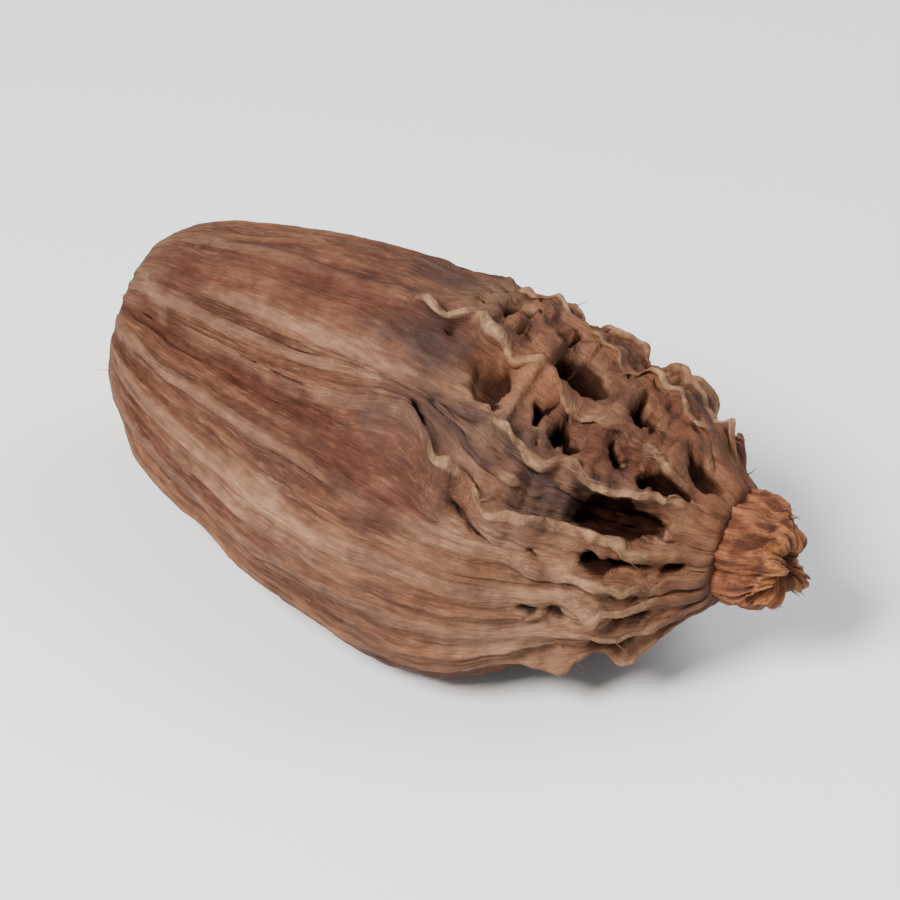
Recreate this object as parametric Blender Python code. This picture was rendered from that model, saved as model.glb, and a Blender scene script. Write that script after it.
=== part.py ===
"""Black cardamom pod, dried, lying on its side.

The husk is a three-sided capsule. Ribs run along it from the stalk scar, and past the middle they rise
into thin wavy wings that crowd round the calyx. The calyx is the withered rest of the flower: a short
ragged cup at the far end.

+X runs from the stalk scar to the calyx and +Z is up. The origin lies on the surface that the pod rests
on, below the middle of its box. Angles round the pod start at the top and grow towards the front, -Y.
"""

import math
import random

import bmesh
import bpy
import numpy as np

MM = 0.001

# Driving sizes
POD_LENGTH = 35.0 * MM
HUSK_LENGTH = 31.6 * MM
BODY_RADIUS = 8.5 * MM
HEIGHT_SHARE = 0.94
CALYX_GAP = 0.3 * MM
WING_HEIGHT = 1.6 * MM
RIB_HEIGHT = 0.45 * MM
BLADE = 0.6 * MM

# The middle line: shares of the husk's length, and its place across and above the floor
MIDDLE_LINE = (
    (0.00, 2.10 * MM, 7.95 * MM),
    (0.07, 1.80 * MM, 7.80 * MM),
    (0.17, 1.25 * MM, 7.55 * MM),
    (0.30, 0.85 * MM, 7.35 * MM),
    (0.45, 0.25 * MM, 7.15 * MM),
    (0.57, -0.25 * MM, 7.10 * MM),
    (0.68, -0.40 * MM, 7.10 * MM),
    (0.80, 0.15 * MM, 7.10 * MM),
    (0.90, 0.55 * MM, 7.15 * MM),
    (1.00, 1.00 * MM, 7.15 * MM),
)

# Outline of the body without ribs: shares of the husk's length and of the body's radius
BODY_OUTLINE = (
    (0.000, 0.00),
    (0.000, 0.12),
    (0.008, 0.16),
    (0.014, 0.20),
    (0.022, 0.33),
    (0.040, 0.48),
    (0.080, 0.60),
    (0.155, 0.725),
    (0.275, 0.86),
    (0.420, 0.975),
    (0.540, 1.010),
    (0.640, 0.940),
    (0.740, 0.815),
    (0.820, 0.700),
    (0.880, 0.590),
    (0.930, 0.490),
    (0.970, 0.390),
    (1.000, 0.310),
    (1.000, 0.00),
)

# Three lobes, with a furrow between each two on the sides that show, which fades past the middle.
# A path is angles round the pod in degrees, at shares of the husk's length
LOBES = 3
LOBE_SWELL = 0.05
TOP_LOBE = -6.0
FRONT_PATH = ((0.0, 42), (0.20, 48), (0.36, 48), (0.51, 54), (0.58, 60), (0.66, 68), (1.0, 74))
BACK_PATH = ((0.0, 298), (1.0, 298))
FURROWS = (
    (FRONT_PATH, 1.2 * MM, (0.42, 0.68)),
    (BACK_PATH, 0.8 * MM, (0.30, 0.62)),
)
FURROW_SPREAD = 9.0

# The lower front is full: share of the length, angle, half length as a share, half width, height
BULGE = (0.71, 128.0, 0.125, 36.0, 1.15 * MM)

# The path of each wing line, and first of the one that stands up as a lip
LIP_PATH = (
    ((0.0, 42), (0.35, 42), (0.50, 38), (0.58, 34), (0.62, 38), (0.66, 46))
    + ((0.70, 53), (0.78, 60), (0.90, 64), (1.0, 67))
)
WING_PATHS = (
    ((0.0, -54), (0.60, -51), (0.85, -43), (1.0, -40)),
    ((0.0, -27), (0.60, -30), (0.75, -25), (0.85, -21), (1.0, -15)),
    ((0.0, -1), (0.50, 3), (0.62, 3), (0.76, 9), (0.86, 14), (1.0, 17)),
    ((0.0, 21), (0.35, 25), (0.64, 25), (0.72, 30), (0.79, 36), (0.85, 37), (0.91, 34), (1.0, 35)),
    ((0.0, 32), (0.35, 33), (0.58, 29.5), (0.66, 35), (0.72, 41), (0.80, 47), (0.88, 49), (1.0, 51)),
    LIP_PATH,
    ((0.0, 60), (0.35, 62), (0.60, 68), (0.80, 76), (0.92, 82), (1.0, 86)),
    ((0.0, 76), (0.35, 79), (0.60, 82), (0.75, 90), (0.90, 95), (1.0, 101)),
    ((0.0, 94), (0.35, 98), (0.60, 100), (0.80, 108), (1.0, 117)),
    ((0.0, 116), (0.50, 118), (0.85, 128), (1.0, 135)),
    ((0.0, 138), (0.50, 140), (1.0, 154)),
    ((0.0, 160), (0.50, 162), (1.0, 173)),
    ((0.0, 182), (0.50, 183), (1.0, 193)),
    ((0.0, 204), (0.50, 204), (1.0, 214)),
    ((0.0, 226), (0.50, 226), (1.0, 236)),
    ((0.0, 248), (0.50, 247), (1.0, 257)),
    ((0.0, 268), (0.50, 268), (1.0, 278)),
    ((0.0, 287), (0.50, 288), (1.0, 299)),
)
WINGS = len(WING_PATHS)

# For each line, how high its rib and its wing stand beside the usual
RIB_SHARES = (0.6, 0.5, 0.5, 0.6, 0.3, 0.35, 0.9, 1, 1, 1, 0.9, 0.8, 0.8, 0.9, 1, 1, 0.9, 0.8)
WING_SHARES = (0.75, 0.75, 0.8, 0.8, 0.35, 0.75, 0.85, 0.85, 0.75, 0.85, 1, 1, 1, 1, 1, 0.85, 0.8, 0.85)

# Shares of the husk's length: where each line starts to rise into a wing, and how long that takes
WING_STARTS = dict(enumerate((0.53, 0.50, 0.46, 0.60, 0.60, 0.56, 0.75, 0.79, 0.79, 0.75, 0.68)))
USUAL_START = (0.48, 0.56)
WING_RISE = 0.14
WING_END = (0.92, 1.02)
RIB_FADE = (0.40, 0.60)
SEED = 7

# The side that the pod lies on is pressed nearly smooth, out to these angles from straight down
UNDERSIDE = 180.0
UNDERSIDE_SPAN = (27.0, 58.0)
UNDERSIDE_PRESS = 0.8

# Pits on the side that shows: share of the length, angle, half length as a share, half width, depth.
# Beyond the hollows in WALLED the pits come from the walls instead
PITS = (
    (0.882, 49.5, 0.055, 11.5, 1.8 * MM),
    (0.890, 72.5, 0.046, 5.5, 0.9 * MM),
    (0.760, -6.0, 0.046, 11.0, 0.8 * MM),
    (0.675, 14.0, 0.028, 8.0, 0.5 * MM),
    (0.780, 22.0, 0.021, 5.5, 0.5 * MM),
    (0.852, 2.0, 0.023, 7.5, 0.5 * MM),
    (0.925, 25.5, 0.030, 7.0, 0.5 * MM),
    (0.965, 6.0, 0.028, 12.0, 0.4 * MM),
    (0.960, 76.0, 0.024, 7.0, 0.4 * MM),
    (0.925, 105.0, 0.030, 7.0, 0.4 * MM),
    (0.640, -13.0, 0.026, 9.0, 0.4 * MM),
    (0.790, -34.0, 0.055, 6.0, 0.4 * MM),
)
WALLED = range(8, 18)

# Waves along a wing: how far its edge sways, and how its height comes and goes
SWAY = 0.45 * MM
SWAY_WAVE = (3.8 * MM, 5.0 * MM)
UNEVEN = 1.0
UNEVEN_WAVE = 9.5 * MM
LEAN = 0.3
NOTCH = 0.3
NOTCH_WAVE = (2.8 * MM, 4.0 * MM)
DRIFT = 1.5
# A second, quicker wave breaks up each of the two: how much quicker, and its share of the first
QUICKER = 1.7
BROKEN = 0.45

# Crumpled skin fills the hollows nearly to the lower wing, slantwise, and leaves a row of pits in each
WALL_FILL = 0.75
WALL_PITCH = (3.0 * MM, 4.2 * MM)
WALL_SHAPE = (-0.3, 0.45)
WALL_SLANT = 1.3

# The line before this hollow is a lip: the skin beyond it slopes down until the next line rises
LIP_HOLLOW = 5

# Across one wing: half widths at the foot, of a rib and of a wing, and the hollow beside it
RIB_FOOT = 0.66 * MM
WING_FOOT = 0.42 * MM
MIDDLE_RIB = 0.22 * MM
HOLLOW = 0.55 * MM
WING_CLEARANCE = 0.12 * MM

# Grid of the husk
COLUMNS_PER_WING = (
    (-1, 0.0, 0.0),
    (-1, 1.0, 0.0),
    (1, 1.0, 0.0),
    (1, 0.0, 0.0),
    (1, 0.0, 1.0),
)
END_ROW = 0.6 * MM
RIB_ROW = 1.2 * MM
WING_ROW = 0.5 * MM

# Calyx: outline of the cup from its base, over the lip, to the floor inside
CALYX_OUTLINE = (
    (0.0, 0.0),
    (0.0, 2.2),
    (0.15, 2.4),
    (0.8, 2.35),
    (1.6, 2.2),
    (2.4, 2.0),
    (2.95, 1.7),
    (3.1, 1.4),
    (2.9, 1.1),
    (2.3, 0.95),
    (1.7, 0.85),
    (1.5, 0.0),
)
CALYX_COLUMNS = 42
CALYX_ROW = 0.42 * MM
CALYX_FOLDS = 7
CALYX_FOLD_DEPTH = 0.16 * MM
LIP_TEETH = ((2, 0.3 * MM, 0.6), (5, 0.2 * MM, 2.1))

# Linear base colour and roughness
HUSK_COLOUR = (0.235, 0.122, 0.072, 1.0)
HUSK_ROUGHNESS = 0.78
CALYX_COLOUR = (0.42, 0.19, 0.075, 1.0)
CALYX_ROUGHNESS = 0.7


def smooth(low, high, value):
    """0 below low, 1 above high, and an even S between them."""
    share = np.clip((value - low) / (high - low), 0.0, 1.0)
    return share * share * (3.0 - 2.0 * share)


def from_angle(angle, centre):
    """How far angle is from centre in degrees, the short way round."""
    return (angle - centre + 180.0) % 360.0 - 180.0


def curve_through(points, steps=40):
    """A dense smooth line through the points, which doesn't reach past its ends along the pod."""
    points = np.asarray(points, float)
    ends = np.vstack([2 * points[0] - points[1], points, 2 * points[-1] - points[-2]])
    knots = np.concatenate([[0.0], np.cumsum(np.linalg.norm(np.diff(ends, axis=0), axis=1) ** 0.5)])
    line = []
    for i in range(1, len(ends) - 2):
        a, b, c, d = ends[i - 1 : i + 3]
        ta, tb, tc, td = knots[i - 1 : i + 3]
        t = np.linspace(tb, tc, steps, endpoint=False)[:, None]
        ab = a + (b - a) * (t - ta) / (tb - ta)
        bc = b + (c - b) * (t - tb) / (tc - tb)
        cd = c + (d - c) * (t - tc) / (td - tc)
        abc = ab + (bc - ab) * (t - ta) / (tc - ta)
        bcd = bc + (cd - bc) * (t - tb) / (td - tb)
        line.append(abc + (bcd - abc) * (t - tb) / (tc - tb))
    line = np.vstack([*line, points[-1:]])
    line[:, 0] = np.clip(line[:, 0], points[:, 0].min(), points[:, 0].max())
    return line


def along_path(share, shares, values):
    """The value at each share, on a smooth line through the values at these shares."""
    size = max(np.ptp(values), 1e-9)
    line = curve_through(np.column_stack([shares, np.divide(values, size)]))
    return np.interp(share, line[:, 0], line[:, 1]) * size


def rows_along(line, step_at):
    """Points on the line step_at(x) apart, without its two ends, and the line's outward normal at each."""
    lengths = np.concatenate([[0.0], np.cumsum(np.linalg.norm(np.diff(line, axis=0), axis=1))])
    places = []
    place = 0.0
    while True:
        place += step_at(np.interp(place, lengths, line[:, 0]))
        if place > lengths[-1] - 0.4 * END_ROW:
            break
        places.append(place)
    around = 0.2 * MM
    x, r = (np.interp(places, lengths, line[:, i]) for i in (0, 1))
    after = np.add(places, around)
    before = np.subtract(places, around)
    dx, dr = (np.interp(after, lengths, line[:, i]) - np.interp(before, lengths, line[:, i]) for i in (0, 1))
    size = np.hypot(dx, dr)
    return x, r, -dr / size, dx / size


def axis_at(x):
    """The pod's middle line at x from the stalk scar, as world x, y and z."""
    share = np.clip(x / HUSK_LENGTH, 0.0, 1.0)
    shares, across, up = np.transpose(MIDDLE_LINE)
    return x - POD_LENGTH / 2, along_path(share, shares, across), along_path(share, shares, up)


def around_axis(x, angle, radius):
    """World points at these places along, round and out from the middle line."""
    along, across, up = axis_at(x)
    turn = np.radians(angle)
    across = across - radius * np.sin(turn)
    up = up + HEIGHT_SHARE * radius * np.cos(turn)
    return np.stack(np.broadcast_arrays(along, across, up), axis=-1)


def pits_at(share, angle):
    """How far each place lies in a pit, from 0 to 1, and how deep the pits sink the body there."""
    inside = sunk = 0.0
    for place, centre, half, width, depth in PITS:
        away = ((share - place) / half) ** 2 + (from_angle(angle, centre) / width) ** 2
        inside = np.maximum(inside, np.exp(-(away**2)))
        sunk = np.maximum(sunk, depth * np.exp(-(away**2)))
    return inside, sunk


def body_radius(share, angle, radius):
    """The outline's radius made three-lobed, furrowed and pitted."""
    swell = 1.0 + LOBE_SWELL * np.cos(np.radians(LOBES * (angle - TOP_LOBE)))
    place, centre, half, width, height = BULGE
    full = np.exp(-(((share - place) / half) ** 2) - (from_angle(angle, centre) / width) ** 2)
    sunk = pits_at(share, angle)[1] - height * full
    for path, depth, fading in FURROWS:
        fade = smooth(0.04, 0.12, share) * (1.0 - smooth(*fading, share))
        aside = from_angle(angle, along_path(share, *np.transpose(path))) / FURROW_SPREAD
        sunk = sunk + fade * depth * np.exp(-(aside**2))
    return radius * swell - sunk


def draw_wings():
    """What differs from wing to wing, drawn once from the seed, as one array for each property."""
    chance = random.Random(SEED)
    names = "start height lean wave phase notch_wave notch_phase drift pitch wall".split()
    wings = {name: [] for name in names}
    for number in range(WINGS):
        usual = chance.uniform(*USUAL_START)
        wings["start"].append(WING_STARTS.get(number, usual))
        wings["height"].append(WING_HEIGHT * WING_SHARES[number] * chance.uniform(0.9, 1.1))
        lean = LEAN * math.sin(4 * math.pi * number / WINGS + 0.6)
        wings["lean"].append(lean + chance.uniform(-0.08, 0.08))
        wings["wave"].append(chance.uniform(*SWAY_WAVE))
        wings["phase"].append(chance.uniform(0.0, math.tau))
        wings["notch_wave"].append(chance.uniform(*NOTCH_WAVE))
        wings["notch_phase"].append(chance.uniform(0.0, math.tau))
        wings["drift"].append(chance.uniform(0.0, math.tau))
        wings["pitch"].append(chance.uniform(*WALL_PITCH))
        wings["wall"].append(chance.uniform(0.0, math.tau))
    wings["slant"] = [WALL_SLANT * chance.uniform(-1.0, 1.0) for _ in range(WINGS)]
    return {name: np.array(values) for name, values in wings.items()}


def wing_lines(x, wings):
    """For each row and wing: its angle, height, sway, slope and rise, and the turn of its walls."""
    share = x[:, None] / HUSK_LENGTH
    rise = smooth(wings["start"], wings["start"] + WING_RISE, share) * (1.0 - smooth(*WING_END, share))
    angle = np.hstack([along_path(share, *np.transpose(path)) for path in WING_PATHS])
    angle = angle + DRIFT * np.sin(math.tau * 1.4 * share + wings["drift"]) * smooth(0.1, 0.4, share)
    free = smooth(*UNDERSIDE_SPAN, np.abs(from_angle(angle, UNDERSIDE)))
    standing = 1.0 - UNDERSIDE_PRESS * (1.0 - free)
    notches = math.tau * x[:, None] / wings["notch_wave"] + wings["notch_phase"]
    notch = 1.0 + NOTCH * (np.sin(notches) + BROKEN * np.sin(QUICKER * notches + wings["drift"]))
    ribs = RIB_HEIGHT * smooth(0.05, 0.14, share) * (1.0 - 0.7 * smooth(*RIB_FADE, share) * (1.0 - rise))
    ribs = ribs * RIB_SHARES
    whole = 1.0 - pits_at(share, angle)[0]
    height = (ribs + wings["height"] * rise * notch * whole) * standing
    slow = math.tau * x[:, None] / UNEVEN_WAVE + wings["drift"]
    turn = math.tau * x[:, None] / wings["wave"] + wings["phase"] + UNEVEN * np.sin(slow)
    rate = math.tau / wings["wave"] + UNEVEN * math.tau / UNEVEN_WAVE * np.cos(slow)
    reach = SWAY * rise * free
    quick = QUICKER * turn + wings["drift"]
    sway = reach * (np.sin(turn) + BROKEN * np.sin(quick)) + wings["lean"] * height * rise * free
    slope = reach * rate * (np.cos(turn) + BROKEN * QUICKER * np.cos(quick))
    walls = math.tau * x[:, None] / wings["pitch"] + wings["wall"] + 0.7 * np.sin(slow)
    return angle, height, sway, slope, rise, walls


def husk_points():
    """The husk's grid, one row of points for each ring, and its two end points."""
    line = curve_through(BODY_OUTLINE) * (HUSK_LENGTH, BODY_RADIUS)

    def step_at(x):
        share = x / HUSK_LENGTH
        step = RIB_ROW + (WING_ROW - RIB_ROW) * smooth(0.28, 0.42, share)
        return END_ROW if share < 0.06 or share > 0.995 else step

    x, r, normal_x, normal_r = rows_along(line, step_at)
    wings = draw_wings()
    angle, height, sway, slope, rise, walls = wing_lines(x, wings)
    share = x / HUSK_LENGTH
    # Close to the calyx the wings stand straight out, so that they stay clear of it
    normal_x = normal_x * (1.0 - smooth(0.85, 0.95, share))
    turn_on = np.full((len(x), 1), 360.0)
    following = np.hstack([angle[:, 1:], angle[:, :1] + turn_on])
    leading = np.hstack([angle[:, -1:] - turn_on, angle[:, :-1]])
    columns = []
    for number in range(WINGS):
        own = angle[:, number]
        radius = body_radius(share, own, r)
        top = radius + normal_r * height[:, number]
        gap = np.minimum(following[:, number] - own, own - leading[:, number])
        half_gap = np.radians(gap / 2) * top
        edge = np.minimum(BLADE / 2 * np.sqrt(1.0 + slope[:, number] ** 2), 0.6 * half_gap)
        # The edge of a wing never passes the middle of the hollow beside it
        most = np.maximum(half_gap - edge - WING_CLEARANCE, 0.01 * MM)
        aside = most * np.tanh(sway[:, number] / most)
        # A line that hasn't risen sinks between two that have
        around = 0.5 * (rise[:, number - 1] + rise[:, (number + 1) % WINGS])
        sunk = HOLLOW * around * (1.0 - rise[:, number])
        for side, up, out in COLUMNS_PER_WING:
            beside = following[:, number] if side > 0 else leading[:, number]
            middle = (own + beside) / 2
            room = np.radians(np.abs(middle - own)) * radius
            foot = np.minimum(RIB_FOOT + (WING_FOOT - RIB_FOOT) * rise[:, number], 0.72 * room)
            across = side * (foot + (edge - foot) * up) + aside * up
            place = own + np.degrees(across / (radius + (top - radius) * up))
            place = place + (middle - place) * out
            hollow = number if side > 0 else number - 1
            beyond = 0.5 * (rise[:, hollow] + rise[:, (hollow + 1) % WINGS])
            valley = MIDDLE_RIB * (1.0 - beyond) * smooth(0.06, 0.16, share) - HOLLOW * beyond
            floor = valley * out - sunk * (1.0 - out)
            # From -1 at the hollow's first line to 1 at its second
            over = side * (2.0 * (place - own) / (beside - own) - 1.0)
            if hollow == LIP_HOLLOW:
                slope_down = rise[:, hollow] * (1.0 - rise[:, hollow + 1]) * (1.0 - over) / 2
                floor = floor + height[:, hollow] * slope_down
            if hollow % WINGS in WALLED:
                fill = smooth(*WALL_SHAPE, np.cos(walls[:, hollow] + wings["slant"][hollow] * over))
            else:
                fill = 1.0 - pits_at(share, place)[0]
            fill = fill * np.minimum(rise[:, hollow], rise[:, (hollow + 1) % WINGS])
            low = np.minimum(height[:, hollow], height[:, (hollow + 1) % WINGS])
            floor = floor + (WALL_FILL * low - floor) * fill
            lift = (height[:, number] - sunk) * up + floor * (1.0 - up)
            ground = body_radius(share, place, r)
            columns.append(around_axis(x + normal_x * lift, place, ground + normal_r * lift))
    grid = np.stack(columns, axis=1)
    first = around_axis(np.array([0.0]), 0.0, 0.0)
    last = around_axis(np.array([HUSK_LENGTH]), 0.0, 0.0)
    for points in (grid, first, last):
        points[..., 2] = np.maximum(points[..., 2], 0.0)
    return first[0], grid, last[0]


def calyx_points():
    """The calyx's grid from the middle of its base, over the ragged lip, to the floor of the cup."""
    line = curve_through(CALYX_OUTLINE) * MM
    x, r, _, _ = rows_along(line, lambda x: CALYX_ROW)
    angle = np.linspace(0.0, 360.0, CALYX_COLUMNS, endpoint=False)[None, :]
    turn = np.radians(angle)
    start = HUSK_LENGTH + CALYX_GAP
    depth = POD_LENGTH - start
    x = x * depth / x.max()
    lip = smooth(0.35 * depth, depth, x)[:, None]
    fold = CALYX_FOLD_DEPTH * np.sin(CALYX_FOLDS * turn + 0.9 * np.sin(turn))
    fold = fold * smooth(0.0, 1.6 * MM, r)[:, None]
    ragged = sum(size * np.sin(count * turn + phase) for count, size, phase in LIP_TEETH)
    along = start + x[:, None] + lip * (ragged - ragged.max())
    grid = around_axis(along, angle, r[:, None] * (1.0 + 0.06 * np.cos(2 * turn + 0.7)) + fold)
    ends = around_axis(start + line[[0, -1], 0], 0.0, 0.0)
    return ends[0], grid, ends[1]


def skin(name, first, grid, last, colour, roughness):
    """A sphere with a ring for each row of the grid, moved onto the grid's points and cut into triangles."""
    rows, count = grid.shape[:2]
    mesh = bmesh.new()
    bmesh.ops.create_uvsphere(mesh, u_segments=count, v_segments=rows + 1, radius=1.0)
    spots = {}
    for vert in mesh.verts:
        ring = round(math.acos(max(-1.0, min(1.0, vert.co.z))) / math.pi * (rows + 1)) - 1
        spots[vert] = ring, round(math.atan2(vert.co.x, vert.co.y) / math.tau * count) % count
    for face in list(mesh.faces):
        if len(face.verts) < 4:
            continue
        at = {spots[vert]: vert for vert in face.verts}
        top = min(ring for ring, column in at)
        left = next(column for ring, column in at if (top, (column + 1) % count) in at)
        right = (left + 1) % count
        # A wing's right side is cut along the mirrored diagonal, so both faces of the blade bend alike
        if left % len(COLUMNS_PER_WING) in (2, 3):
            left, right = right, left
        bmesh.utils.face_split(face, at[top, left], at[top + 1, right])
    for vert, (ring, column) in spots.items():
        vert.co = first if ring < 0 else last if ring == rows else grid[ring, column]
    if mesh.calc_volume(signed=True) < 0:
        bmesh.ops.reverse_faces(mesh, faces=mesh.faces)
    data = bpy.data.meshes.new(name)
    mesh.to_mesh(data)
    mesh.free()
    data.shade_smooth()
    data.set_sharp_from_angle(angle=math.radians(50))
    data.materials.append(finish(name, colour, roughness))
    return bpy.data.objects.new(name, data)


def finish(name, colour, roughness):
    """A plain matte material."""
    material = bpy.data.materials.new(name)
    material.use_nodes = True
    shader = material.node_tree.nodes["Principled BSDF"]
    shader.inputs["Base Color"].default_value = colour
    shader.inputs["Roughness"].default_value = roughness
    shader.inputs["Metallic"].default_value = 0.0
    return material


def main():
    for old in list(bpy.data.objects):
        bpy.data.objects.remove(old)
    pod = bpy.data.collections.new("black_cardamom_pod")
    bpy.context.scene.collection.children.link(pod)
    pod.objects.link(skin("husk", *husk_points(), HUSK_COLOUR, HUSK_ROUGHNESS))
    pod.objects.link(skin("calyx", *calyx_points(), CALYX_COLOUR, CALYX_ROUGHNESS))


main()
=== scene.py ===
"""Looks of the black cardamom pod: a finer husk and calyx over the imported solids, on a pale floor.

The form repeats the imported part's named sizes and formulas, in metres. Lengths along the pod run from the
stalk scar, and angles round it start at the top and grow towards the front, -Y.
"""

import math
import random

import bpy
import numpy as np
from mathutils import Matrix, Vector


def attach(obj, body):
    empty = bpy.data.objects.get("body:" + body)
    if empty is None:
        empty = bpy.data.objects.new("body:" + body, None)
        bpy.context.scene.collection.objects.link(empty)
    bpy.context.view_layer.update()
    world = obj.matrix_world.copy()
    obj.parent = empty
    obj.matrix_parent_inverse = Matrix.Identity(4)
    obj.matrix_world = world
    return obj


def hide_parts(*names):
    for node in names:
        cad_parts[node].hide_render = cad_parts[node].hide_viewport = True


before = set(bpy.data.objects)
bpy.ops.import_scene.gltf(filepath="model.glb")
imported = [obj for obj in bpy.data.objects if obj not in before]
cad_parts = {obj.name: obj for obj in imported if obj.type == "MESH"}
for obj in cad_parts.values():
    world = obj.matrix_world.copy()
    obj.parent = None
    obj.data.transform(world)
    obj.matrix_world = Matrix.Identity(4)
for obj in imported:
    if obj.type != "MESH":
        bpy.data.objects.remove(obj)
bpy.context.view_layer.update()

# The part's own sizes
MM = 0.001

# Driving sizes
POD_LENGTH = 35.0 * MM
HUSK_LENGTH = 31.6 * MM
BODY_RADIUS = 8.5 * MM
HEIGHT_SHARE = 0.94
CALYX_GAP = 0.3 * MM
WING_HEIGHT = 1.6 * MM
RIB_HEIGHT = 0.45 * MM
BLADE = 0.6 * MM

# The middle line: shares of the husk's length, and its place across and above the floor
MIDDLE_LINE = (
    (0.00, 2.10 * MM, 7.95 * MM),
    (0.07, 1.80 * MM, 7.80 * MM),
    (0.17, 1.25 * MM, 7.55 * MM),
    (0.30, 0.85 * MM, 7.35 * MM),
    (0.45, 0.25 * MM, 7.15 * MM),
    (0.57, -0.25 * MM, 7.10 * MM),
    (0.68, -0.40 * MM, 7.10 * MM),
    (0.80, 0.15 * MM, 7.10 * MM),
    (0.90, 0.55 * MM, 7.15 * MM),
    (1.00, 1.00 * MM, 7.15 * MM),
)

# Outline of the body without ribs: shares of the husk's length and of the body's radius
BODY_OUTLINE = (
    (0.000, 0.00),
    (0.000, 0.12),
    (0.008, 0.16),
    (0.014, 0.20),
    (0.022, 0.33),
    (0.040, 0.48),
    (0.080, 0.60),
    (0.155, 0.725),
    (0.275, 0.86),
    (0.420, 0.975),
    (0.540, 1.010),
    (0.640, 0.940),
    (0.740, 0.815),
    (0.820, 0.700),
    (0.880, 0.590),
    (0.930, 0.490),
    (0.970, 0.390),
    (1.000, 0.310),
    (1.000, 0.00),
)

# Three lobes, with a furrow between each two on the sides that show, which fades past the middle
LOBES = 3
LOBE_SWELL = 0.05
TOP_LOBE = -6.0
FRONT_PATH = ((0.0, 42), (0.20, 48), (0.36, 48), (0.51, 54), (0.58, 60), (0.66, 68), (1.0, 74))
BACK_PATH = ((0.0, 298), (1.0, 298))
FURROWS = (
    (FRONT_PATH, 1.2 * MM, (0.42, 0.68)),
    (BACK_PATH, 0.8 * MM, (0.30, 0.62)),
)
FURROW_SPREAD = 9.0

# The lower front is full: share of the length, angle, half length as a share, half width, height
BULGE = (0.71, 128.0, 0.125, 36.0, 1.15 * MM)

# The path of each wing line, and first of the one that stands up as a lip
LIP_PATH = (
    ((0.0, 42), (0.35, 42), (0.50, 38), (0.58, 34), (0.62, 38), (0.66, 46))
    + ((0.70, 53), (0.78, 60), (0.90, 64), (1.0, 67))
)
WING_PATHS = (
    ((0.0, -54), (0.60, -51), (0.85, -43), (1.0, -40)),
    ((0.0, -27), (0.60, -30), (0.75, -25), (0.85, -21), (1.0, -15)),
    ((0.0, -1), (0.50, 3), (0.62, 3), (0.76, 9), (0.86, 14), (1.0, 17)),
    ((0.0, 21), (0.35, 25), (0.64, 25), (0.72, 30), (0.79, 36), (0.85, 37), (0.91, 34), (1.0, 35)),
    ((0.0, 32), (0.35, 33), (0.58, 29.5), (0.66, 35), (0.72, 41), (0.80, 47), (0.88, 49), (1.0, 51)),
    LIP_PATH,
    ((0.0, 60), (0.35, 62), (0.60, 68), (0.80, 76), (0.92, 82), (1.0, 86)),
    ((0.0, 76), (0.35, 79), (0.60, 82), (0.75, 90), (0.90, 95), (1.0, 101)),
    ((0.0, 94), (0.35, 98), (0.60, 100), (0.80, 108), (1.0, 117)),
    ((0.0, 116), (0.50, 118), (0.85, 128), (1.0, 135)),
    ((0.0, 138), (0.50, 140), (1.0, 154)),
    ((0.0, 160), (0.50, 162), (1.0, 173)),
    ((0.0, 182), (0.50, 183), (1.0, 193)),
    ((0.0, 204), (0.50, 204), (1.0, 214)),
    ((0.0, 226), (0.50, 226), (1.0, 236)),
    ((0.0, 248), (0.50, 247), (1.0, 257)),
    ((0.0, 268), (0.50, 268), (1.0, 278)),
    ((0.0, 287), (0.50, 288), (1.0, 299)),
)
WINGS = len(WING_PATHS)

# For each line, how high its rib and its wing stand beside the usual
RIB_SHARES = (0.6, 0.5, 0.5, 0.6, 0.3, 0.35, 0.9, 1, 1, 1, 0.9, 0.8, 0.8, 0.9, 1, 1, 0.9, 0.8)
WING_SHARES = (0.75, 0.75, 0.8, 0.8, 0.35, 0.75, 0.85, 0.85, 0.75, 0.85, 1, 1, 1, 1, 1, 0.85, 0.8, 0.85)

# Shares of the husk's length: where each line starts to rise into a wing, and how long that takes
WING_STARTS = dict(enumerate((0.53, 0.50, 0.46, 0.60, 0.60, 0.56, 0.75, 0.79, 0.79, 0.75, 0.68)))
USUAL_START = (0.48, 0.56)
WING_RISE = 0.14
WING_END = (0.92, 1.02)
RIB_FADE = (0.40, 0.60)
SEED = 7

# The side that the pod lies on is pressed nearly smooth, out to these angles from straight down
UNDERSIDE = 180.0
UNDERSIDE_SPAN = (27.0, 58.0)
UNDERSIDE_PRESS = 0.8

# Pits on the side that shows: share of the length, angle, half length as a share, half width, depth.
# In the hollows that WALLED numbers, the pits lie between the walls instead
PITS = (
    (0.882, 49.5, 0.055, 11.5, 1.8 * MM),
    (0.890, 72.5, 0.046, 5.5, 0.9 * MM),
    (0.760, -6.0, 0.046, 11.0, 0.8 * MM),
    (0.675, 14.0, 0.028, 8.0, 0.5 * MM),
    (0.780, 22.0, 0.021, 5.5, 0.5 * MM),
    (0.852, 2.0, 0.023, 7.5, 0.5 * MM),
    (0.925, 25.5, 0.030, 7.0, 0.5 * MM),
    (0.965, 6.0, 0.028, 12.0, 0.4 * MM),
    (0.960, 76.0, 0.024, 7.0, 0.4 * MM),
    (0.925, 105.0, 0.030, 7.0, 0.4 * MM),
    (0.640, -13.0, 0.026, 9.0, 0.4 * MM),
    (0.790, -34.0, 0.055, 6.0, 0.4 * MM),
)
WALLED = range(8, 18)

# Waves along a wing: how far its edge sways, and how its height comes and goes
SWAY = 0.45 * MM
SWAY_WAVE = (3.8 * MM, 5.0 * MM)
UNEVEN = 1.0
UNEVEN_WAVE = 9.5 * MM
LEAN = 0.3
NOTCH = 0.3
NOTCH_WAVE = (2.8 * MM, 4.0 * MM)
DRIFT = 1.5
# A second, quicker wave breaks up each of the two: how much quicker, and its share of the first
QUICKER = 1.7
BROKEN = 0.45

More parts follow.
